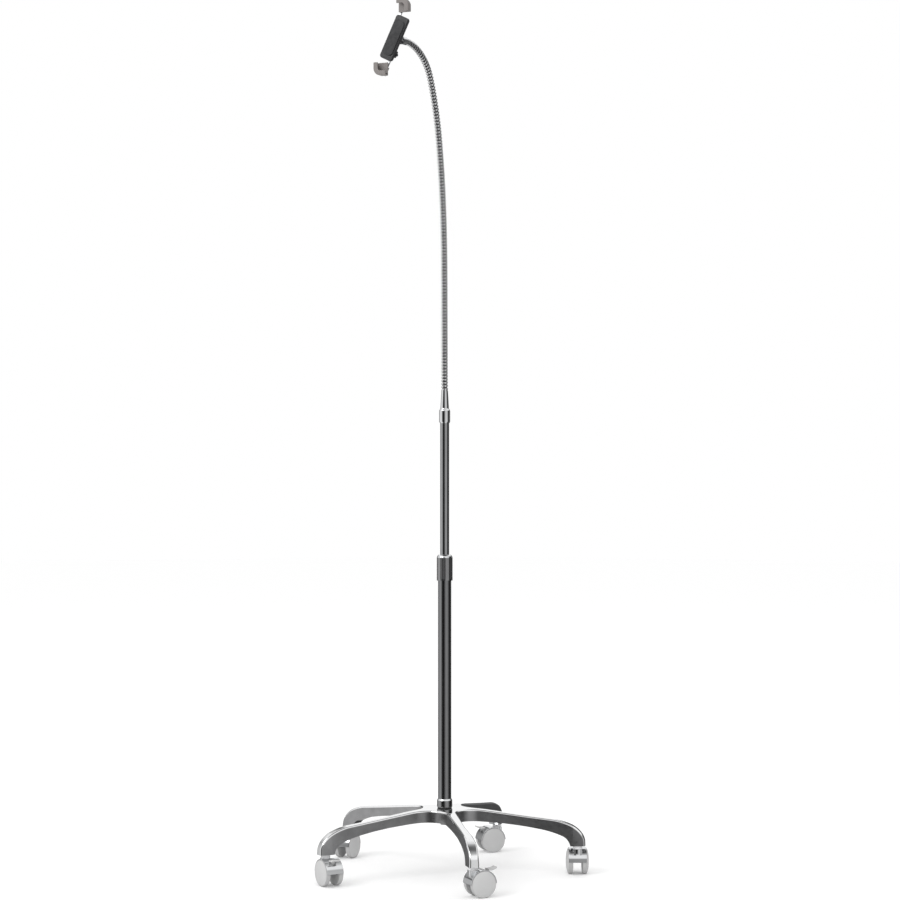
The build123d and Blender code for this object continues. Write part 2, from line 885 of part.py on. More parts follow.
def wheel_bar(radius, half_width):
    """A round bar along the axle."""
    bar = Rot(90, 0, 0) * Cylinder(radius, 2 * half_width)
    return Pos(caster_trail, 0, axle_height()) * bar


def caster_hood():
    """Hood over both wheels, with the web between them, the stem's boss and the pedal's slot."""
    outer = wheel_radius + hood_gap + hood_wall
    shell = wheel_bar(outer, hood_half_width) - wheel_bar(wheel_radius + hood_gap, hood_half_width + cut_overrun)
    web = wheel_bar(outer, web_half_width)
    bridge_front = -boss_radius * boss_bridge_share
    bridge = slab(
        bridge_front, caster_trail,
        -web_half_width, web_half_width,
        axle_height(), boss_top(),
    )
    body = shell + web + bridge
    below = axle_height() + hood_rise
    body -= slab(-2 * outer, 2 * outer + caster_trail, -outer, outer, -outer, below)
    body += disc(boss_radius, boss_floor, boss_top())
    body -= disc(stem_radius + pivot_gap, stem_collar_bottom() - stem_pivot_length - collar_gap, boss_top() + cut_overrun)
    body -= disc(stem_collar_radius + collar_gap, boss_top(), boss_top() + hood_wall + cut_overrun)
    body += wheel_bar(axle_boss_radius, web_half_width)
    body -= wheel_bar(axle_radius + axle_gap, hood_half_width + cut_overrun)
    body -= pedal_slot(outer)
    pin = Pos(pedal_pivot_along + caster_trail, 0, axle_height() + pedal_pivot_up)
    body -= pin * Rot(90, 0, 0) * Cylinder(pedal_pin_radius + pivot_gap, 2 * hood_half_width)
    return body


def pedal_slot(outer):
    """The wedge cut through web and hood that the pedal swings in."""
    start = radians(slot_start_angle)
    end = radians(slot_end_angle)
    reach = 2 * outer
    root = lever_root_radius + pedal_slot_gap
    wedge = make_face(Polyline(
        (0, 0),
        (reach * cos(start), reach * sin(start)),
        (reach * cos(end), reach * sin(end)),
        close=True,
    ))
    opening = Pos(pedal_pivot_along - root, pedal_pivot_up - root) * wedge
    half = pedal_half_width + pedal_slot_gap
    return wheel_plane(half) * extrude(opening, amount=2 * half)


def wheel_plane(half):
    """A plane along the caster's side, its X towards the trail and its Y up, half a width out."""
    return Plane(origin=(caster_trail, half, axle_height()), x_dir=(1, 0, 0), z_dir=(0, -1, 0))


def brake_pedal():
    """Pedal: a curved foot tab on a lever, with its hinge pin."""
    tab_start = (tab_start_along, tab_start_up)
    tab_end = (tab_end_along, tab_end_up)
    low = (tab_start_along, tab_start_up - tab_thickness)
    low_end = (tab_end_along, tab_end_up - tab_thickness)
    middle = (tab_start_along + tab_end_along) / 2
    sag = (tab_start_up + tab_end_up) / 2 - tab_sag
    outline = [
        ThreePointArc(tab_start, (middle, sag), tab_end),
        Line(tab_end, low_end),
        ThreePointArc(low_end, (middle, sag - tab_thickness), low),
        Line(low, tab_start),
    ]
    tab_face = make_face(Wire.combine([edge for curve in outline for edge in curve.edges()])[0])
    tab = wheel_plane(tab_half_width) * extrude(tab_face, amount=2 * tab_half_width)
    pivot = (pedal_pivot_along, pedal_pivot_up)
    lever_face = make_face(Polyline(
        (tab_start_along, tab_start_up - tab_thickness / 2),
        (tab_start_along + lever_root_radius, tab_start_up - tab_thickness / 2),
        (pivot[0] + lever_root_radius, pivot[1]),
        (pivot[0], pivot[1] - lever_root_radius / 2),
        (pivot[0] - lever_root_radius / 2, pivot[1]),
        close=True,
    ))
    lever = wheel_plane(pedal_half_width) * extrude(lever_face, amount=2 * pedal_half_width)
    pin = Pos(caster_trail + pivot[0], 0, axle_height() + pivot[1]) * Rot(90, 0, 0)
    return tab + lever + pin * Cylinder(pedal_pin_radius, 2 * web_half_width)


def caster_wheel(side):
    """Wheel with its stub axle, on one side of the hood's web."""
    tread = Pos(0, 0, wheel_inner_face) * extrude(Circle(wheel_radius), amount=wheel_width)
    stub = Pos(0, 0, axle_end_gap) * extrude(Circle(axle_radius), amount=wheel_inner_face)
    return Pos(caster_trail, 0, axle_height()) * Rot(-90 * side, 0, 0) * (tread + stub)


def caster_pieces(number):
    """The named pieces of one caster, in their place."""
    place = caster_place(number)
    pieces = {
        "caster_hood": caster_hood(),
        "wheel_left": caster_wheel(1),
        "wheel_right": caster_wheel(-1),
        "brake_pedal": brake_pedal(),
    }
    return {f"{name}_{number + 1}": place * shape for name, shape in pieces.items()}


def all_pieces():
    """Every named piece of the stand."""
    pieces = {
        "base_casting": base_casting(),
        "caster_stems": caster_stems(),
        "pole_bolt": pole_bolt(),
        "lower_pole": lower_pole(),
        "lock_sleeve": lock_sleeve(),
        "slide_bush": slide_bush(),
        "upper_pole": upper_pole(),
        "neck_tip": neck_tip(),
        "swivel_stud": swivel_stud(),
        "tilt_pin": tilt_pin(),
        "tilt_fork": tilt_fork(),
        "holder_back": rear_housing(),
        "holder_cover": front_cover(),
        "front_pad": front_pad(),
        "pinion": pinion(),
        "arm_upper": holder_arm(1),
        "arm_lower": holder_arm(-1),
        "grip_upper": corner_grip(1),
        "grip_lower": corner_grip(-1),
        "liner_upper": grip_liner(1),
        "liner_lower": grip_liner(-1),
        "lock_knob": lock_knob(),
    }
    for number in range(neck_piece_count):
        pieces[f"neck_piece_{number + 1}"] = neck_piece(number)
    for number in range(arm_count):
        pieces.update(caster_pieces(number))
    return pieces


os.makedirs("parts", exist_ok=True)
for name, shape in all_pieces().items():
    export_step(shape, f"parts/{name}.step")
centre = holder_centre()
print(f"holder centre {centre.X:.1f} {centre.Y:.1f} {centre.Z:.1f}")
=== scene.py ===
# %% [markdown]
# # Adjustable floor stand for a tablet or a phone
#
# The imported CAD model is the frame: its bodies and joints are fixed, and every piece made here rides on one
# of them. Lengths in the tables are millimetres, as on a maker's drawing, and MM turns them into Blender's
# metres. The script first loads the frame.

import json
from bisect import bisect
from math import atan2, ceil, copysign, cos, hypot, pi, radians, sin

import bmesh
import bpy
from mathutils import Matrix, Vector
from mathutils.bvhtree import BVHTree


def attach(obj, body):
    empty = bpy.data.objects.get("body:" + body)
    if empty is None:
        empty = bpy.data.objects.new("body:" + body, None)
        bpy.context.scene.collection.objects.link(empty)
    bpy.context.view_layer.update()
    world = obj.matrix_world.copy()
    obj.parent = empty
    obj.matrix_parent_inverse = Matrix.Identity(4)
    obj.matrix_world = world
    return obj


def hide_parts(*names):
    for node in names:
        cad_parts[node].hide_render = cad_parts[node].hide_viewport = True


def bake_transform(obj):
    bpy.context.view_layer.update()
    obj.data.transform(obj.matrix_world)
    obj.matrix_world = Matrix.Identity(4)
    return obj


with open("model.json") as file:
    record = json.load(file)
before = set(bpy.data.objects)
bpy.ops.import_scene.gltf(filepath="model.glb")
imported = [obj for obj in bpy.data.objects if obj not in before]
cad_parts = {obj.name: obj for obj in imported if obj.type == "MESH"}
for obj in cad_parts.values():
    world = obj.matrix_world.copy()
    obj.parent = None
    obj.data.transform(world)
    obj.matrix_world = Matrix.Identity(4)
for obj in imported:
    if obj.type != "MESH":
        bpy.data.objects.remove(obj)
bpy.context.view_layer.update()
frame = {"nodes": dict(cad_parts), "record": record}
scene = bpy.context.scene
MM = 0.001

# %% [markdown]
# ## Camera
#
# The photograph is a product picture taken nearly level from 4.9 m, a little to the right of the holder's
# front. The horizon crosses the middle of the frame, so the camera isn't tilted and the pole stays upright
# in the picture. A small sideways shift frames the pole where the photograph has it.

# %% Camera
VIEW_TURN = 24.5
VIEW_DISTANCE = 4.861
VIEW_HEIGHT = 0.8946
VIEW_LENS = 91.7
VIEW_SHIFT = 0.0059

camera_data = bpy.data.cameras.new("camera")
camera_data.lens = VIEW_LENS
camera_data.sensor_width = 36.0
camera_data.shift_x = VIEW_SHIFT
camera = bpy.data.objects.new("camera", camera_data)
turn = radians(VIEW_TURN)
camera.location = (sin(turn) * VIEW_DISTANCE, -cos(turn) * VIEW_DISTANCE, VIEW_HEIGHT)
camera.rotation_euler = (pi / 2, 0, turn)
scene.collection.objects.link(camera)
scene.camera = camera
scene.view_settings.view_transform = "Standard"

# %% [markdown]
# ## Helpers for making pieces
#
# Three ways of making a mesh cover the whole stand. Round pieces are turned: a profile of (radius, height)
# points is spun round Z, as on a lathe. Moulded and cast pieces start as a merged copy of their CAD solid,
# and their sharp edges are rounded with a bevel, which gives them the thin highlights that a real casting
# or moulding has. The flexible neck is wound as a straight coil and then bent along the neck's line.

# %% Helpers
def rounded(profile, radius, steps=3):
    """A closed profile with each corner rounded, as far as its neighbours allow. Corners on the axis stay."""
    points = []
    for number, (x, y) in enumerate(profile):
        ends = (profile[number - 1], profile[(number + 1) % len(profile)])
        if x == 0:
            points.append((x, y))
            continue
        arms = []
        for far_x, far_y in ends:
            length = hypot(far_x - x, far_y - y)
            share = min(radius, length * 0.45) / length
            arms.append((x + (far_x - x) * share, y + (far_y - y) * share))
        (ax, ay), (bx, by) = arms
        for step in range(steps + 1):
            t = step / steps
            points.append((
                (1 - t) ** 2 * ax + 2 * t * (1 - t) * x + t * t * bx,
                (1 - t) ** 2 * ay + 2 * t * (1 - t) * y + t * t * by,
            ))
    return points


def turned(profile, steps=64):
    """A profile of (radius, height) points in millimetres, spun round Z into a closed solid."""
    bm = bmesh.new()
    points = [bm.verts.new((radius * MM, 0, height * MM)) for radius, height in profile]
    follow = points[1:] + points[:1] if profile[0][0] else points[1:]
    edges = [bm.edges.new(pair) for pair in zip(points, follow)]
    bmesh.ops.spin(bm, geom=points + edges, angle=2 * pi, steps=steps, axis=(0, 0, 1), cent=(0, 0, 0))
    bmesh.ops.remove_doubles(bm, verts=bm.verts, dist=1e-7)
    bmesh.ops.recalc_face_normals(bm, faces=bm.faces)
    return bm


def merged_copy(node, merge=0.002, flat=1.5):
    """A copy of a CAD solid with points closer than merge millimetres made one and its flat areas joined."""
    bm = bmesh.new()
    bm.from_mesh(frame["nodes"][node].data)
    bmesh.ops.remove_doubles(bm, verts=bm.verts, dist=merge * MM)
    bmesh.ops.dissolve_limit(bm, angle_limit=radians(flat), verts=bm.verts, edges=bm.edges)
    return bm


def round_off(bm, edges, width, segments):
    """Edges rounded to a width in millimetres, however short some of them are."""
    bmesh.ops.bevel(
        bm, geom=edges, offset=width * MM, segments=segments, profile=0.5,
        affect="EDGES", clamp_overlap=False, material=-1,
    )


def sharp_edges(bm, corner):
    """Edges that turn by more than an angle in degrees."""
    return [
        edge for edge in bm.edges
        if len(edge.link_faces) == 2 and edge.calc_face_angle(0) > radians(corner)
    ]


def soft_copy(node, width, segments=2, corner=30):
    """A merged copy of a CAD solid with its outer edges rounded. Inner ones would throw spikes."""
    bm = merged_copy(node)
    round_off(bm, [edge for edge in sharp_edges(bm, corner) if edge.is_convex], width, segments)
    return bm


def piece(name, bm, materials, body, stands_for=(), place=None, sharp=40):
    """A finished piece from its mesh: shaded, painted, riding on its body and standing for its CAD nodes."""
    if place is not None:
        bmesh.ops.transform(bm, matrix=place, verts=bm.verts)
    for face in bm.faces:
        face.smooth = True
    for edge in bm.edges:
        edge.smooth = len(edge.link_faces) == 2 and edge.calc_face_angle(pi) < radians(sharp)
    mesh = bpy.data.meshes.new(name)
    bm.to_mesh(mesh)
    bm.free()
    for entry in materials:
        mesh.materials.append(entry)
    obj = bpy.data.objects.new(name, mesh)
    scene.collection.objects.link(obj)
    even = obj.modifiers.new("even_normals", "WEIGHTED_NORMAL")
    even.keep_sharp = True
    if body is not None:
        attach(obj, body)
    if stands_for:
        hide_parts(*stands_for)
    return obj


# %% [markdown]
# ## Materials
#
# One recipe makes all the finishes. Fine noise gives the surface its grain through the bump, a coarse noise
# shifts the colour a little from place to place, and a third one breaks up the gloss, as handling does.
# Stretching the fine noise along one axis turns it into the brushing of a drawn tube or a polished casting.

# %% Materials
BUMP_STRENGTH = 0.35
MOTTLE_SCALE, WEAR_SCALE = 38, 140
NOISE_LOW, NOISE_HIGH = 0.3, 0.7
GLOSS_SHARE = 0.25


def finish(name, colour, metallic, rough, grain=900, depth=0.02, stretch=(1, 1, 1), mottle=0.06):
    """A procedural finish. Grain is in noise cells per metre, and depth in millimetres."""
    material = bpy.data.materials.new(f"{name}_finish")
    material.use_nodes = True
    nodes = material.node_tree.nodes
    link = material.node_tree.links.new
    shader = nodes["Principled BSDF"]
    shader.inputs["Metallic"].default_value = metallic
    place = nodes.new("ShaderNodeTexCoord")
    fine_place = nodes.new("ShaderNodeMapping")
    fine_place.inputs["Scale"].default_value = stretch
    link(place.outputs["Object"], fine_place.inputs["Vector"])
    fine = nodes.new("ShaderNodeTexNoise")
    fine.inputs["Scale"].default_value = grain
    fine.inputs["Detail"].default_value = 3
    link(fine_place.outputs["Vector"], fine.inputs["Vector"])
    bump = nodes.new("ShaderNodeBump")
    bump.inputs["Strength"].default_value = BUMP_STRENGTH
    bump.inputs["Distance"].default_value = depth * MM
    link(fine.outputs["Fac"], bump.inputs["Height"])
    link(bump.outputs["Normal"], shader.inputs["Normal"])
    coarse = nodes.new("ShaderNodeTexNoise")
    coarse.inputs["Scale"].default_value = MOTTLE_SCALE
    coarse.inputs["Detail"].default_value = 4
    link(place.outputs["Object"], coarse.inputs["Vector"])
    ramp = nodes.new("ShaderNodeValToRGB")
    low, high = ramp.color_ramp.elements
    low.position, high.position = NOISE_LOW, NOISE_HIGH
    low.color = [*[channel * (1 - mottle) for channel in colour], 1]
    high.color = [*[min(1, channel * (1 + mottle)) for channel in colour], 1]
    link(coarse.outputs["Fac"], ramp.inputs["Fac"])
    link(ramp.outputs["Color"], shader.inputs["Base Color"])
    wear = nodes.new("ShaderNodeTexNoise")
    wear.inputs["Scale"].default_value = WEAR_SCALE
    wear.inputs["Detail"].default_value = 5
    link(fine_place.outputs["Vector"], wear.inputs["Vector"])
    gloss = nodes.new("ShaderNodeMapRange")
    gloss.inputs["From Min"].default_value = NOISE_LOW
    gloss.inputs["From Max"].default_value = NOISE_HIGH
    gloss.inputs["To Min"].default_value = rough * (1 - GLOSS_SHARE)
    gloss.inputs["To Max"].default_value = min(1, rough * (1 + GLOSS_SHARE))
    link(wear.outputs["Fac"], gloss.inputs["Value"])
    link(gloss.outputs["Result"], shader.inputs["Roughness"])
    return material


polished = finish("cast_aluminium", (0.88, 0.885, 0.89), 1, 0.06, grain=300, depth=0.001, mottle=0.02)
cast_side = finish(
    "cast_side", (0.34, 0.34, 0.345), 1, 0.36, grain=160, depth=0.01, stretch=(1, 1, 5), mottle=0.12,
)
chrome = finish("chrome", (0.74, 0.75, 0.76), 1, 0.04, grain=300, depth=0.0005, mottle=0.03)
zinc = finish("zinc_steel", (0.62, 0.63, 0.64), 1, 0.3, grain=900, depth=0.003, mottle=0.06)
dark_pole = finish(
    "dark_pole", (0.235, 0.237, 0.242), 1, 0.2, grain=700, depth=0.002, stretch=(1, 1, 0.03), mottle=0.03,
)
steel_sleeve = finish(
    "steel_sleeve", (0.28, 0.28, 0.285), 1, 0.15, grain=900, depth=0.004, stretch=(1, 1, 0.1), mottle=0.05,
)
grey_pole = finish(
    "grey_pole", (0.36, 0.365, 0.372), 1, 0.14, grain=900, depth=0.002, stretch=(1, 1, 0.03), mottle=0.03,
)
neck_steel = finish("neck_steel", (0.74, 0.743, 0.75), 1, 0.08, grain=600, depth=0.001, mottle=0.05)
# Near-black paint that stands for shade: painted shade in the gaps between the neck's coil turns and in the
# foot ring's groove
neck_gap = finish("neck_gap", (0.02, 0.02, 0.021), 0, 0.6, grain=900, depth=0.01, mottle=0.1)
black_plastic = finish("black_plastic", (0.03, 0.03, 0.032), 0, 0.42, grain=1600, depth=0.012, mottle=0.08)
grey_plastic = finish("grey_plastic", (0.205, 0.188, 0.18), 0, 0.5, grain=1600, depth=0.015, mottle=0.05)
rubber_pad = finish("rubber_pad", (0.04, 0.04, 0.042), 0, 0.78, grain=1800, depth=0.02, mottle=0.12)
grey_wheel = finish("grey_wheel", (0.56, 0.56, 0.56), 0, 0.5, grain=1200, depth=0.008, mottle=0.02)
wheel_tread = finish("wheel_tread", (0.47, 0.47, 0.47), 0, 0.6, grain=1200, depth=0.015, mottle=0.04)
pedal_plastic = finish("pedal_plastic", (0.58, 0.58, 0.58), 0, 0.42, grain=1400, depth=0.008, mottle=0.03)
stem_plate = finish("stem_plate", (0.76, 0.76, 0.77), 0, 0.35, grain=900, depth=0.003, mottle=0.04)

finishes = {
    entry.name.removesuffix("_finish"): entry
    for entry in bpy.data.materials if entry.name.endswith("_finish")
}
for entry in frame["record"]["subparts"]:
    node = frame["nodes"][entry["node"]]
    node.data.materials.clear()
    node.data.materials.append(finishes[entry["material_slot"]])
print("finishes", len(finishes))

# %% [markdown]
# ## Floor, backdrop and light
#
# A plain pale floor catches the soft shadows under the wheels. The world lights everything evenly. Polished
# metal only looks like metal when it has something to mirror, so reflections see a white studio with dark
# upright panels round the camera and beside the backdrop, a white upper part and a dark ceiling. The
# panels' places and shades were worked out from the stripes on the poles, since a round pole mirrors each
# side of the room in a stripe of its own. Reflections leave the floor out, or it would wash the stripes out
# low down.

# %% Floor, backdrop and light
FLOOR_RADIUS = 14
FLOOR_SHADE = 0.96
FLOOR_GLOW = 0.09


def studio_floor():
    """A wide disc under the wheels."""
    bm = bmesh.new()
    bmesh.ops.create_circle(bm, cap_ends=True, segments=96, radius=FLOOR_RADIUS)
    mesh = bpy.data.meshes.new("floor")
    bm.to_mesh(mesh)
    bm.free()
    floor = bpy.data.objects.new("floor", mesh)
    scene.collection.objects.link(floor)
    material = bpy.data.materials.new("pale_floor")
    material.use_nodes = True
    shader = material.node_tree.nodes["Principled BSDF"]
    shader.inputs["Base Color"].default_value = (FLOOR_SHADE, FLOOR_SHADE, FLOOR_SHADE, 1)
    shader.inputs["Roughness"].default_value = 0.9
    shader.inputs["Specular IOR Level"].default_value = 0.0
    shader.inputs["Emission Color"].default_value = (1, 1, 1, 1)
    path = material.node_tree.nodes.new("ShaderNodeLightPath")
    glow = material.node_tree.nodes.new("ShaderNodeMath")
    glow.operation = "MULTIPLY"
    glow.inputs[1].default_value = FLOOR_GLOW
    material.node_tree.links.new(path.outputs["Is Camera Ray"], glow.inputs[0])
    material.node_tree.links.new(glow.outputs["Value"], shader.inputs["Emission Strength"])
    mesh.materials.append(material)
    floor.visible_glossy = False


# Reflected room: degrees to the right of the camera's direction, and brightness
ROOM = (
    (-180, 1.0), (-174, 1.0), (-170, 0.08), (-146, 0.1), (-131, 0.4), (-112, 0.8), (-94, 0.97),
    (-67, 0.9), (-57, 0.5), (-47, 0.08), (-36, 0.02), (-14, 0.02), (-4, 0.1), (7, 0.45), (18, 0.68),
    (42, 0.78), (56, 0.6), (70, 0.25), (80, 0.03), (102, 0.03), (118, 0.14), (136, 0.18), (150, 0.08),
    (170, 0.05), (174, 1.0), (180, 1.0),
)
# Layers over it: the sines of the heights above the horizon where each starts and is full, and its brightness
ROOM_LAYERS = ((0.36, 0.5, 1.0), (0.76, 1.0, 0.05))
# What the paint and the floor see instead of the room
EVEN_LIGHT = 0.94


def studio_world():
    """White for the camera, even for the floor and paint, and a room with dark panels for reflections."""
    world = bpy.data.worlds.new("studio")
    scene.world = world
    world.use_nodes = True
    nodes = world.node_tree.nodes
    link = world.node_tree.links.new
    shader = nodes["Background"]
    place = nodes.new("ShaderNodeTexCoord")
    aim = nodes.new("ShaderNodeMapping")
    aim.inputs["Rotation"].default_value = (0, 0, pi / 2 - radians(VIEW_TURN))
    link(place.outputs["Generated"], aim.inputs["Vector"])
    round_room = nodes.new("ShaderNodeTexGradient")
    round_room.gradient_type = "RADIAL"
    link(aim.outputs["Vector"], round_room.inputs["Vector"])
    panels = nodes.new("ShaderNodeValToRGB")
    ramp = panels.color_ramp
    for position, (angle, value) in enumerate(ROOM):
        if position < 2:
            element = ramp.elements[position]
            element.position = angle / 360 + 0.5
        else:
            element = ramp.elements.new(angle / 360 + 0.5)
        element.color = (value, value, value, 1)
    link(round_room.outputs["Fac"], panels.inputs["Fac"])
    split = nodes.new("ShaderNodeSeparateXYZ")
    link(place.outputs["Generated"], split.inputs["Vector"])
    room = panels.outputs["Color"]
    for low, high, shade in ROOM_LAYERS:
        rise = nodes.new("ShaderNodeMapRange")
        rise.inputs["From Min"].default_value = low
        rise.inputs["From Max"].default_value = high
        link(split.outputs["Z"], rise.inputs["Value"])
        layer = nodes.new("ShaderNodeMix")
        layer.data_type = "RGBA"
        layer.inputs["B"].default_value = (shade, shade, shade, 1)
        link(rise.outputs["Result"], layer.inputs["Factor"])
        link(room, layer.inputs["A"])
        room = layer.outputs["Result"]
    path = nodes.new("ShaderNodeLightPath")
    for_gloss = nodes.new("ShaderNodeMix")
    for_gloss.data_type = "RGBA"
    for_gloss.inputs["A"].default_value = (EVEN_LIGHT, EVEN_LIGHT, EVEN_LIGHT, 1)
    link(path.outputs["Is Glossy Ray"], for_gloss.inputs["Factor"])
    link(room, for_gloss.inputs["B"])
    for_camera = nodes.new("ShaderNodeMix")
    for_camera.data_type = "RGBA"
    for_camera.inputs["B"].default_value = (1, 1, 1, 1)
    link(path.outputs["Is Camera Ray"], for_camera.inputs["Factor"])
    link(for_gloss.outputs["Result"], for_camera.inputs["A"])
    link(for_camera.outputs["Result"], shader.inputs["Color"])


def soft_box(name, place, aim, size, power):
    """A large soft lamp."""
    data = bpy.data.lights.new(name, "AREA")
    data.shape = "SQUARE"
    data.size = size
    data.energy = power
    lamp = bpy.data.objects.new(name, data)
    lamp.location = place
    lamp.rotation_euler = (Vector(aim) - Vector(place)).to_track_quat("-Z", "Y").to_euler()
    scene.collection.objects.link(lamp)


studio_floor()
studio_world()
soft_box("key_lamp", (-1.6, -3.2, 3.4), (0, 0, 0.7), 2.2, 55)

# %% [markdown]
# ## Star base
#
# The base is one die casting. Its five arms are polished on top, where a buffing wheel reaches, and stay
# darker on their sides. The edges between the two are well rounded and polished too, so that they mirror
# the whole room in a few millimetres, as a thin bright line beside a thin dark one. The copy is merged a
# little more coarsely than the others, because slivers where the arms meet the hub would throw the rounding
# off.

# %% Star base
RIM_WIDTH = 3.4
HUB_CLEAR = 30
TIP_FROM, WALLS_TO = 270, 200
# Limits on the direction that a face looks in: up, across its arm, and outwards
WALL_RISE, WALL_ACROSS = 0.12, 0.9
CROWN_RISE, NOSE_OUTWARD = 0.25, 0.5
UNDERSIDE_RISE = -0.3


def outward(place):
    """The level direction from the pole to a place."""
    return Vector((place.x, place.y, 0)).normalized()


def is_wall(face):
    """Whether a face of the casting stands upright, beside an arm or between two of them."""
    centre = face.calc_center_median()
    across = abs(face.normal.cross(outward(centre)).z)
    return abs(face.normal.z) < WALL_RISE and (across > WALL_ACROSS or centre.xy.length < WALLS_TO * MM)


def is_crown(face):
    """Whether a face lies on top of the casting or on an arm's nose."""
    centre = face.calc_center_median()
    on_nose = centre.xy.length > TIP_FROM * MM and face.normal.dot(outward(centre)) > NOSE_OUTWARD
    return face.normal.z > CROWN_RISE or on_nose


bm = merged_copy("base_casting", merge=0.1)
rims = [
    edge for edge in sharp_edges(bm, 40)
    if any(is_wall(face) for face in edge.link_faces) and any(is_crown(face) for face in edge.link_faces)
    and edge.verts[0].co.xy.length > HUB_CLEAR * MM
]
shell = BVHTree.FromBMesh(bm)
round_off(bm, rims, RIM_WIDTH, 5)
print("rims", len(rims), "farthest from the CAD, mm",
      round(max(shell.find_nearest(vert.co)[3] for vert in bm.verts) / MM, 2))
for face in bm.faces:
    face.material_index = 1 if is_wall(face) or face.normal.z < UNDERSIDE_RISE else 0
base = piece("star_base", bm, [polished, cast_side], "base", ["base_casting"])
print("star base faces", len(base.data.polygons))

# %% [markdown]
# ## Pole
#
# The lower tube is a turned piece with a threaded plug in its foot, and a chrome ring covers the joint with
# the casting. The collet on its mouth is a copy of the CAD solid above the tube's end, because its slots
# aren't round. The twist sleeve has shallow grip flutes and a bright chamfer round its mouth.

# %% Pole
TUBE_TOP = 640
GROOVE_SHADE_TO, RING_TAPER_FROM = 138.2, 152.4
piece("lower_tube", turned([
    (5.05, 116), (14, 116), (14, TUBE_TOP), (9.6, TUBE_TOP), (9.6, 604), (12.5, 604), (12.5, 140),
    (5.05, 140),
]), [dark_pole], "base", ["lower_pole"])

bm = turned(rounded([
    (14.02, 136), (15.1, 136), (15.1, 138.0), (16.2, 138.8), (16.2, 152.6), (14.5, 156), (14.02, 156),
], 0.4))
# Faces in the groove at the ring's foot are painted near-black as painted shade, and those above the taper's
# start are chrome
for face in bm.faces:
    height = face.calc_center_median().z / MM
    face.material_index = 2 if height < GROOVE_SHADE_TO else (1 if height > RING_TAPER_FROM else 0)
piece("foot_ring", bm, [steel_sleeve, chrome, neck_gap], "base", ["lower_pole"])

bm = bmesh.new()
bm.from_mesh(frame["nodes"]["lower_pole"].data)
bmesh.ops.remove_doubles(bm, verts=bm.verts, dist=2e-6)
cut = bmesh.ops.bisect_plane(
    bm, geom=list(bm.verts) + list(bm.edges) + list(bm.faces),
    plane_co=(0, 0, (TUBE_TOP + 0.01) * MM), plane_no=(0, 0, 1), clear_inner=True,
)
rim = [entry for entry in cut["geom_cut"] if isinstance(entry, bmesh.types.BMEdge)]
bmesh.ops.triangle_fill(bm, edges=rim, use_beauty=True, normal=(0, 0, -1))
piece("collet", bm, [zinc], "base", ["lower_pole"])

FLUTES = 16
FLUTE_DEPTH = 0.4
FLUTE_FOOT, FLUTE_TOP = 621, 667
FLUTED_FROM = 16.7
MOUTH_FROM = 666.5
bm = turned(rounded([
    (14.05, 618), (16.8, 618), (16.8, 622), (16.8, 664), (16.8, 666.2), (15.7, 670), (13.0, 672.8),
    (9.85, 673), (9.85, 669.3), (14.05, 669.3),
], 0.5), steps=FLUTES * 8)
for vert in bm.verts:
    radius = hypot(vert.co.x, vert.co.y)
    if radius > FLUTED_FROM * MM and FLUTE_FOOT * MM < vert.co.z < FLUTE_TOP * MM:
        groove = max(0.0, cos(atan2(vert.co.y, vert.co.x) * FLUTES)) * FLUTE_DEPTH * MM
        vert.co.x *= 1 - groove / radius
        vert.co.y *= 1 - groove / radius
for face in bm.faces:
    face.material_index = 1 if face.calc_center_median().z > MOUTH_FROM * MM else 0
piece("twist_sleeve", bm, [steel_sleeve, chrome], "sleeve", ["lock_sleeve"])

FERRULE_FROM = 951.6
bm = turned([
    (8, 440), (9.5, 440), (9.5, 951.5), (10.1, 951.5), (11.3, 953.6), (11.65, 954.8), (11.7, 956),
    (11.7, 976.6), (11.6, 977.8), (11.2, 979), (9.5, 981.9), (9.2, 982.6), (9.05, 983.6), (7, 1020),
    (6.25, 1020), (6.25, 1023.6), (3.4, 1023.6), (3.4, 951.5), (8, 951.5),
])
for face in bm.faces:
    face.material_index = 1 if face.calc_center_median().z > FERRULE_FROM * MM else 0
piece("upper_tube", bm, [grey_pole, chrome], "upper_pole", ["upper_pole"])

# %% [markdown]
# ## Flexible neck
#
# A flexible neck is a steel coil wound over a core. The coil is wound here round a straight axis, with a
# spin that also climbs by one pitch each turn, and then each of its points is carried over to the neck's
# line. Its section starts as a circle and is pushed out towards its corners, because the coil is a band
# with round edges. That line is straight at each joint and bends in one arc between, which is how the CAD
# lengths are made. Each stretch of coil reaches from the middle of one length to the middle of the next.

# %% Flexible neck
CONE_TOP = 1020
NECK_LENGTH = 782
NECK_LENGTHS = 6
NECK_PIECE = NECK_LENGTH / NECK_LENGTHS
NECK_CUP = 3.4
NECK_RADIUS, NECK_SWING, RIM_GAP = 7, 15, 0.3
NECK_DROP = NECK_RADIUS * sin(radians(NECK_SWING)) + RIM_GAP
NECK_FOOT = CONE_TOP + NECK_DROP
NECK_TURNS = [90 * share for share in (0.004, 0.002, 0.041, 0.047, 0.134, 0.772)]
NECK_HEADING = radians(261.8)
COIL_PITCH = 6.71
COIL_STEPS = 20
BAND_CENTRE = 5.6
BAND_DEPTH = 1.4
BAND_HEIGHT = COIL_PITCH * 0.3
BAND_POWER = 0.55
BORE_RADIUS, CORE_RADIUS = 3.4, 5.0
CORE_PARTS = 24
AHEAD = Vector((cos(NECK_HEADING), sin(NECK_HEADING), 0))
SIDEWAYS = Vector((-sin(NECK_HEADING), cos(NECK_HEADING), 0))


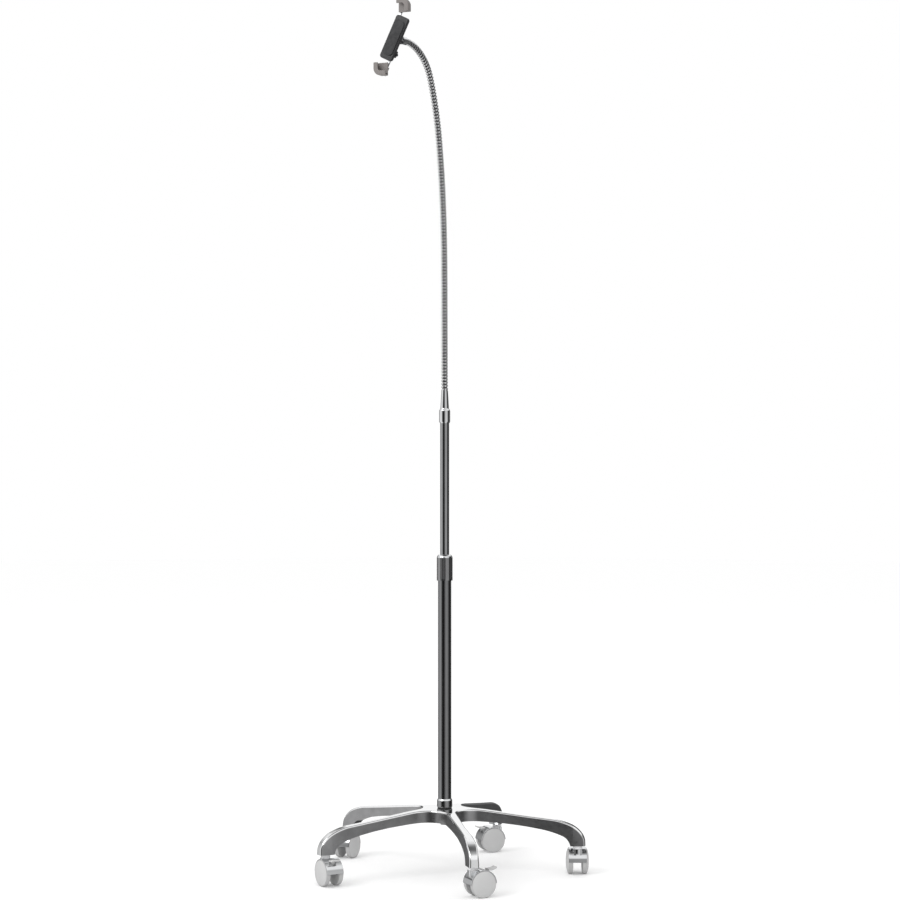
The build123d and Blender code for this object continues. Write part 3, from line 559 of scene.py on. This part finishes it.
def neck_line():
    """Stations of the neck's line: distance, out, up and lean, every few millimetres."""
    out, up, lean, travel = 0.0, NECK_FOOT, 0.0, 0.0
    line = [(travel, out, up, lean)]
    for bend in NECK_TURNS:
        arc = NECK_PIECE - NECK_CUP - NECK_DROP
        for length, angle in ((NECK_CUP, 0.0), (arc, radians(bend)), (NECK_DROP, 0.0)):
            parts = ceil(length / 2)
            for _ in range(parts):
                middle = lean + angle / parts / 2
                out += sin(middle) * length / parts
                up += cos(middle) * length / parts
                lean += angle / parts
                travel += length / parts
                line.append((travel, out, up, lean))
    return line


LINE = neck_line()
TRAVELS = [station[0] for station in LINE]


def neck_place(travel):
    """The place on the neck's line after a distance, and its upper direction square to it."""
    number = min(max(bisect(TRAVELS, travel), 1), len(LINE) - 1)
    before, after = LINE[number - 1], LINE[number]
    share = (travel - before[0]) / (after[0] - before[0])
    out, up, lean = (before[part] + (after[part] - before[part]) * share for part in (1, 2, 3))
    return AHEAD * out + Vector((0, 0, up)), AHEAD * cos(lean) - Vector((0, 0, sin(lean)))


def bend_along_neck(bm):
    """Carries a straight mesh, with its height as distance in metres, over to the neck's line."""
    for vert in bm.verts:
        place, across = neck_place(vert.co.z / MM)
        vert.co = place * MM + across * vert.co.x + SIDEWAYS * vert.co.y


def neck_stretch(name, start, end, body, stands_for, joint=None):
    """Coil and core between two distances along the neck."""
    bm = bmesh.new()
    length = end - start
    turns = length / COIL_PITCH
    steps = max(8, round(turns * COIL_STEPS))
    bmesh.ops.create_circle(bm, cap_ends=True, segments=16, radius=1)
    for vert in bm.verts:
        vert.co = [copysign(abs(part) ** BAND_POWER, part) for part in vert.co]
    shape = Matrix.Rotation(2 * pi * start / COIL_PITCH, 4, "Z")
    shape = shape @ Matrix.Translation((BAND_CENTRE * MM, 0, start * MM)) @ Matrix.Rotation(pi / 2, 4, "X")
    shape = shape @ Matrix.Diagonal((BAND_DEPTH * MM, BAND_HEIGHT * MM, 1, 1))
    bmesh.ops.transform(bm, matrix=shape, verts=bm.verts)
    bmesh.ops.spin(
        bm, geom=list(bm.verts) + list(bm.edges) + list(bm.faces), angle=2 * pi * turns,
        steps=steps, axis=(0, 0, 1), cent=(0, 0, 0), dvec=(0, 0, length / steps * MM),
    )
    climb = [length * part / CORE_PARTS for part in range(CORE_PARTS + 1)]
    core = turned(
        [(BORE_RADIUS, start), *[(CORE_RADIUS, start + rise) for rise in climb],
         (BORE_RADIUS, end), *[(BORE_RADIUS, end - rise) for rise in climb[1:-1]]], steps=24,
    )
    # The core is painted near-black as painted shade in the gaps between the coil's turns
    for face in core.faces:
        face.material_index = 1
    spare = bpy.data.meshes.new("spare")
    core.to_mesh(spare)
    core.free()
    bm.from_mesh(spare)
    bpy.data.meshes.remove(spare)
    bend_along_neck(bm)
    obj = piece(name, bm, [neck_steel, neck_gap], None if joint is not None else body, stands_for, sharp=80)
    if joint is not None:
        reaches = (-BLEND_REACH if joint else 0, BLEND_REACH)
        low, high = (neck_place(joint + reach)[0] * MM for reach in reaches)
        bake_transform(obj)
    return obj


BLEND_REACH = 40
bodies = ["upper_pole"] + [f"neck_{number}" for number in range(1, NECK_LENGTHS + 1)]
neck_stretch("neck_coil_0", -2.0, NECK_PIECE / 2, bodies[0:2], ["neck_piece_1"], joint=0)
for number in range(1, NECK_LENGTHS):
    middle = number * NECK_PIECE
    neck_stretch(
        f"neck_coil_{number}", middle - NECK_PIECE / 2, middle + NECK_PIECE / 2,
        bodies[number:number + 2], [f"neck_piece_{number}", f"neck_piece_{number + 1}"], joint=middle,
    )
neck_stretch(
    "neck_coil_6", NECK_LENGTH - NECK_PIECE / 2, NECK_LENGTH - NECK_DROP, bodies[-1],
    [f"neck_piece_{NECK_LENGTHS}"],
)
piece("neck_sleeve", soft_copy("neck_tip", 0.7), [chrome], "neck_6", ["neck_tip"])
print("neck ends at", [round(value, 1) for value in neck_place(NECK_LENGTH)[0]])

# %% [markdown]
# ## Casters
#
# Each caster has a chrome hood, two domed wheels and a brake pedal, and stands at its arm's tip, turned the
# way the photograph shows. A wheel is a turned piece: a tread with a pale domed cap. The stem's collar has
# two rings.

# %% Casters
ARM_REACH = 282
FIRST_ARM = 18
TRAIL = 16
AXLE = 27
CASTER_YAWS = (114.5, 226.0, 269.5, 324.5, 50.5)

WHEEL = [
    (0, 0.4), (3, 0.4), (3, 9.8), (25.6, 9.8), (26.7, 10.3), (27, 11.2), (27, 18.6), (26.8, 19.3),
    (26.4, 19.6), (26.1, 19.6), (25.8, 20.0), (23.5, 21.2), (20, 22.3), (15.5, 23.2), (10.5, 23.7),
    (5, 23.95), (0, 24),
]
STEM = rounded([
    (0, 39), (5.5, 39), (5.5, 54.9), (9.8, 54.9), (9.8, 57.4), (9.0, 57.9), (9.0, 58.5), (9.8, 59),
    (9.8, 61.5), (5.5, 61.5), (5.5, 85.5), (0, 85.5),
], 0.4)
COLLAR_FOOT, COLLAR_TOP = 54, 62
CAP_FROM = 19.5

for number, yaw in enumerate(CASTER_YAWS):
    count = number + 1
    arm = radians(FIRST_ARM + 72 * number)
    tip = Matrix.Translation((ARM_REACH * MM * cos(arm), ARM_REACH * MM * sin(arm), 0))
    stand = tip @ Matrix.Rotation(radians(yaw), 4, "Z")
    bm = turned(STEM, 48)
    for face in bm.faces:
        height = face.calc_center_median().z / MM
        face.material_index = 1 if COLLAR_FOOT < height < COLLAR_TOP else 0
    piece(f"stem_{count}", bm, [zinc, stem_plate], "base", ["caster_stems"], place=stand)
    hood, pedal = f"caster_hood_{count}", f"brake_pedal_{count}"
    piece(f"hood_{count}", soft_copy(hood, 0.45), [chrome], f"caster_{count}", [hood])
    piece(f"pedal_{count}", soft_copy(pedal, 0.5), [pedal_plastic], f"pedal_{count}", [pedal])
    for side, label in ((1, "left"), (-1, "right")):
        bm = turned(WHEEL, 72)
        for face in bm.faces:
            face.material_index = 0 if face.calc_center_median().z > CAP_FROM * MM else 1
        axle = stand @ Matrix.Translation((TRAIL * MM, 0, AXLE * MM))
        piece(
            f"{label}_wheel_{count}", bm, [grey_wheel, wheel_tread], f"{label}_wheel_{count}",
            [f"wheel_{label}_{count}"], place=axle @ Matrix.Rotation(radians(-90 * side), 4, "X"),
        )

# %% [markdown]
# ## Holder
#
# The holder's pieces are mouldings, so each one is its CAD solid with rounded edges. The grips are warm
# grey plastic, and the strips inside them, like the pad, are dark rubber.

# %% Holder
HOLDER = (
    ("stud_and_tongue", "swivel_stud", "stud", chrome, 0.5),
    ("fork", "tilt_fork", "fork", black_plastic, 0.6),
    ("pivot_pin", "tilt_pin", "fork", zinc, 0.4),
    ("housing", "holder_back", "holder", black_plastic, 0.6),
    ("cover", "holder_cover", "holder", black_plastic, 0.7),
    ("pad", "front_pad", "holder", rubber_pad, 0.9),
    ("upper_corner_grip", "grip_upper", "upper_grip", grey_plastic, 0.9),
    ("lower_corner_grip", "grip_lower", "lower_grip", grey_plastic, 0.9),
    ("upper_strip", "liner_upper", "upper_grip", rubber_pad, 0.3),
    ("lower_strip", "liner_lower", "lower_grip", rubber_pad, 0.3),
    ("knob", "lock_knob", "knob", black_plastic, 0.5),
)
for name, node, body, material, width in HOLDER:
    piece(name, soft_copy(node, width, corner=25), [material], body, [node])
